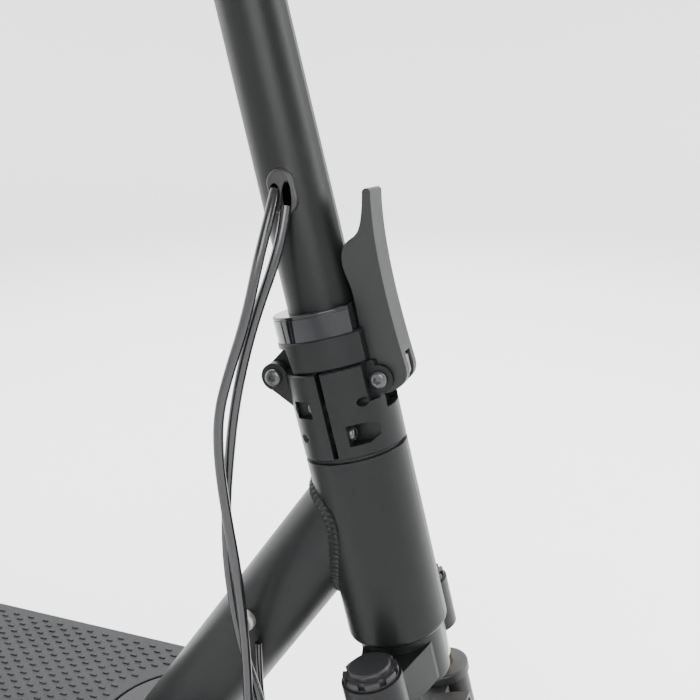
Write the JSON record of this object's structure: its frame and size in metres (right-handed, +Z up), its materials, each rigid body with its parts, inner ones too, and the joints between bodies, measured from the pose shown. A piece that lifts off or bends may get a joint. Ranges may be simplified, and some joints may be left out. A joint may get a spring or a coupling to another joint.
{
  "type": "electric kick scooter",
  "caption": "Folding electric kick scooter with a lever-latched stem hinge, telescopic front fork, studded deck, hub motor front wheel and disc-braked rear wheel.",
  "frame": {"origin": "on the ground, below the middle of the wheelbase, on the scooter's middle plane", "axes": "+X forward, +Y to the rider's left, +Z up"},
  "size_m": [1.154, 0.586, 1.2462],
  "materials": {
    "frame_paint": "satin powder coat",
    "lever_black": "matte powder coat",
    "moulded_black": "moulded",
    "ring_gloss": "gloss",
    "bolt_black": "black oxide",
    "bearing_steel": "ground",
    "disc_steel": "brushed",
    "rod_chrome": "polished",
    "cast_alloy": "satin",
    "stator_copper": "wound",
    "seal_rubber": "smooth",
    "grip_rubber": "textured",
    "deck_rubber": "studded",
    "tyre": "treaded",
    "cable_jacket": "gloss",
    "red_lens": "clear red"
  },
  "bodies": {
    "frame": {"frame_neck": "frame_paint", "headset_bearings": "bearing_steel", "deck_tray": "frame_paint", "base_plate": "frame_paint", "deck_mat": "deck_rubber", "neck_cover": "moulded_black", "battery_pack": "moulded_black", "controller": "cast_alloy", "charge_port": "moulded_black", "cable_exits": "cast_alloy", "rear_arms": "frame_paint", "rear_axle": "bolt_black", "rear_fender": "moulded_black", "rear_light": "red_lens", "brake_caliper": "frame_paint", "stand_bracket": "frame_paint", "frame_screws": "bolt_black", "frame_cables": "cable_jacket"},
    "side_stand": {"stand_leg": "frame_paint"},
    "rear_wheel": {"rear_tyre": "tyre", "rear_rim": "frame_paint", "brake_disc": "disc_steel"},
    "fork": {"steerer_tube": "bearing_steel", "headset_spacer": "moulded_black", "fork_crown": "frame_paint", "fork_rods": "rod_chrome", "fork_caps": "moulded_black", "hinge_block": "frame_paint", "hinge_bolts": "bolt_black"},
    "fork_slider": {"fork_legs": "frame_paint", "fork_seals": "seal_rubber", "fork_springs": "bearing_steel", "front_fender": "moulded_black", "front_axle": "bolt_black", "motor_stator": "stator_copper", "axle_covers": "moulded_black"},
    "front_wheel": {"front_tyre": "tyre", "motor_drum": "frame_paint", "motor_covers": "frame_paint"},
    "stem": {"stem_tube": "frame_paint", "hinge_collar": "frame_paint", "hinge_ring": "ring_gloss", "cable_grommet": "seal_rubber", "brake_cable": "cable_jacket", "wiring_loom": "cable_jacket", "bar_clamp": "frame_paint", "clamp_cap": "frame_paint", "clamp_screws": "bolt_black", "handlebar": "frame_paint", "grips": "grip_rubber", "brake_bracket": "moulded_black", "throttle_body": "moulded_black", "display_pod": "moulded_black", "headlamp": "moulded_black", "control_wires": "cable_jacket"},
    "latch": {"latch_lever": "lever_black", "latch_tongue": "cast_alloy"},
    "brake_lever": {"brake_lever": "cast_alloy"},
    "throttle": {"throttle_paddle": "moulded_black"},
    "power_button": {"power_button": "grip_rubber"}
  },
  "joints": [
    {"name": "steering", "type": "hinge", "parent": "frame", "child": "fork", "pos_m": [0.35006, 0, 0.4299], "axis": [-0.2385, 0, 0.9711], "range_deg": [-45, 45], "deforming": ["frame_cables"]},
    {"name": "stem_fold", "type": "hinge", "parent": "fork", "child": "stem", "pos_m": [0.30555, 0, 0.46943], "axis": [0, -1, 0], "range_deg": [0, 90], "deforming": ["brake_cable", "wiring_loom"]},
    {"name": "latch_open", "type": "hinge", "parent": "fork", "child": "latch", "pos_m": [0.36761, 0, 0.47417], "axis": [0, 1, 0], "range_deg": [0, 85]},
    {"name": "fork_travel", "type": "slide", "parent": "fork", "child": "fork_slider", "axis": [-0.2385, 0, 0.9711], "range_m": [0, 0.022], "stiffness_N_per_m": 9000, "springref_m": -0.03, "deforming": ["fork_springs"]},
    {"name": "front_wheel_spin", "type": "hinge", "parent": "fork_slider", "child": "front_wheel", "pos_m": [0.45, 0, 0.127], "axis": [0, 1, 0], "continuous": true},
    {"name": "rear_wheel_spin", "type": "hinge", "parent": "frame", "child": "rear_wheel", "pos_m": [-0.45, 0, 0.127], "axis": [0, 1, 0], "continuous": true},
    {"name": "stand_swing", "type": "hinge", "parent": "frame", "child": "side_stand", "pos_m": [0.02, 0.069, 0.108], "axis": [0, 0.891, 0.454], "range_deg": [0, 90]},
    {"name": "brake_squeeze", "type": "hinge", "parent": "stem", "child": "brake_lever", "pos_m": [0.19392, 0.14, 1.20812], "axis": [-0.2385, 0, 0.9711], "range_deg": [0, 12], "stiffness_Nm_per_rad": 3, "springref_deg": -8.59},
    {"name": "throttle_press", "type": "hinge", "parent": "stem", "child": "throttle", "pos_m": [0.1609, -0.14, 1.20002], "axis": [0, -1, 0], "range_deg": [0, 30], "stiffness_Nm_per_rad": 0.3, "springref_deg": -11.46},
    {"name": "power_press", "type": "slide", "parent": "stem", "child": "power_button", "axis": [0.2385, 0, -0.9711], "range_m": [0, 0.0012], "stiffness_N_per_m": 300, "springref_m": -0.001}
  ]
}
